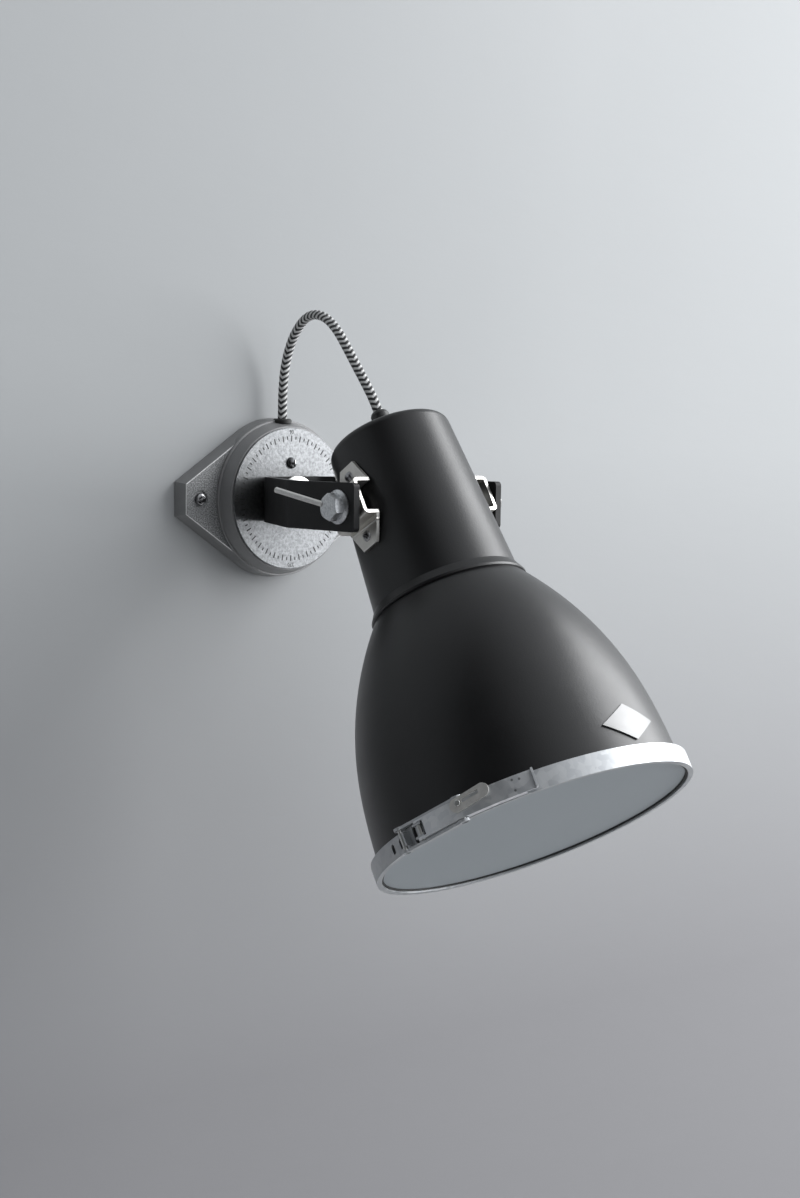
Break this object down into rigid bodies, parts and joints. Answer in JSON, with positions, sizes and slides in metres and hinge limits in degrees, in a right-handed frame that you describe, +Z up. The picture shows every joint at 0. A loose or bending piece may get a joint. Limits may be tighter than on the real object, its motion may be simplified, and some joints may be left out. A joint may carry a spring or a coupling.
{
  "type": "pivoting spotlight wall light",
  "caption": "Wall spotlight: bell shade with clamped glass front, tilting in a forked yoke that swivels on a graduated round wall base, with a looped cord.",
  "frame": {"origin": "centre of the base's flat back face, on the wall, on the swivel axis", "axes": "+Y into the wall, -Y out of it towards the room, +X to the right seen from the front, +Z up"},
  "size_m": [0.2331, 0.3965, 0.4155],
  "materials": {
    "cast_base": "sand-textured silver-grey enamel on a cast base",
    "dial_silver": "satin silver with engraved black marks",
    "dark_screw": "blackened steel",
    "zinc": "bright zinc plate",
    "fibre": "plain black friction material",
    "porcelain": "plain ceramic white",
    "earth": "plain brass",
    "rubber_black": "plain matte rubber",
    "cord_braid": "woven black and white braid",
    "black_powder": "fine matte black powder coat",
    "nickel": "dull nickel plate",
    "grip_black": "plain black nylon",
    "galvanised": "galvanised sheet",
    "glass_frosted": "acid-frosted glass",
    "bulb_clear": "opal glass",
    "badge": "plain blank plate"
  },
  "bodies": {
    "base": {"wall_base": "cast_base", "dial_plate": "dial_silver", "dial_screw": "dark_screw", "swivel_bolt": "zinc", "swivel_friction_disc": "fibre", "swivel_cap_washer": "zinc", "swivel_nut": "zinc", "terminal_block": "porcelain", "earth_screw": "earth", "base_grommet": "rubber_black", "jumper_cord": "cord_braid"},
    "yoke": {"yoke": "black_powder", "pivot_washers": "zinc", "pivot_bolt_right": "zinc"},
    "clamp": {"clamp_bolt": "zinc", "clamp_rod": "zinc"},
    "head": {"neck_housing": "black_powder", "hinge_bracket_left": "nickel", "hinge_bracket_right": "nickel", "hinge_nuts": "zinc", "bracket_screws": "zinc", "bracket_nuts": "zinc", "cord_grip": "grip_black", "cord_grip_nut": "grip_black", "shade_bell": "black_powder", "joint_screws": "zinc", "joint_nuts": "zinc", "holder_bracket": "zinc", "lamp_holder": "porcelain", "holder_screws": "zinc", "bulb_cap": "zinc", "bulb_glass": "bulb_clear", "glass_disc": "glass_frosted", "glass_gasket": "rubber_black", "clamp_ring": "galvanised", "latch_pivot_bracket": "galvanised", "latch_pivot_pin": "zinc", "badge_plate": "badge", "badge_rivets": "zinc"},
    "ring_lever": {"latch_lever": "galvanised", "latch_link_pin": "zinc", "catch_rivet": "zinc"},
    "bail": {"bail_bars": "galvanised", "bail_pin": "zinc"},
    "catch": {"safety_catch": "nickel"}
  },
  "joints": [
    {"name": "yoke_swivel", "type": "hinge", "parent": "base", "child": "yoke", "pos_m": [0, -0.03, 0], "axis": [0, -1, 0], "range_deg": [-35, 35], "deforming": ["jumper_cord"]},
    {"name": "head_tilt", "type": "hinge", "parent": "yoke", "child": "head", "pos_m": [0, -0.169, 0], "axis": [1, 0, 0], "range_deg": [-55, 30], "deforming": ["jumper_cord"]},
    {"name": "clamp_turn", "type": "hinge", "parent": "yoke", "child": "clamp", "pos_m": [-0.0687, -0.169, 0], "axis": [-1, 0, 0], "range_deg": [0, 150]},
    {"name": "lever_open", "type": "hinge", "parent": "head", "child": "ring_lever", "pos_m": [-0.11463, -0.31399, -0.19791], "axis": [0, -0.5225, -0.8526], "range_deg": [0, 80]},
    {"name": "bail_swing", "type": "hinge", "parent": "ring_lever", "child": "bail", "pos_m": [-0.10462, -0.34026, -0.18181], "axis": [0, -0.5225, -0.8526], "range_deg": [-38, 2]},
    {"name": "catch_swing", "type": "hinge", "parent": "ring_lever", "child": "catch", "pos_m": [-0.10711, -0.34116, -0.17739], "axis": [-0.8926, -0.3844, 0.2356], "range_deg": [-90, 0]}
  ],
  "couplings": [
    {"joint": "bail_swing", "follows": "lever_open", "ratio": -0.45}
  ]
}
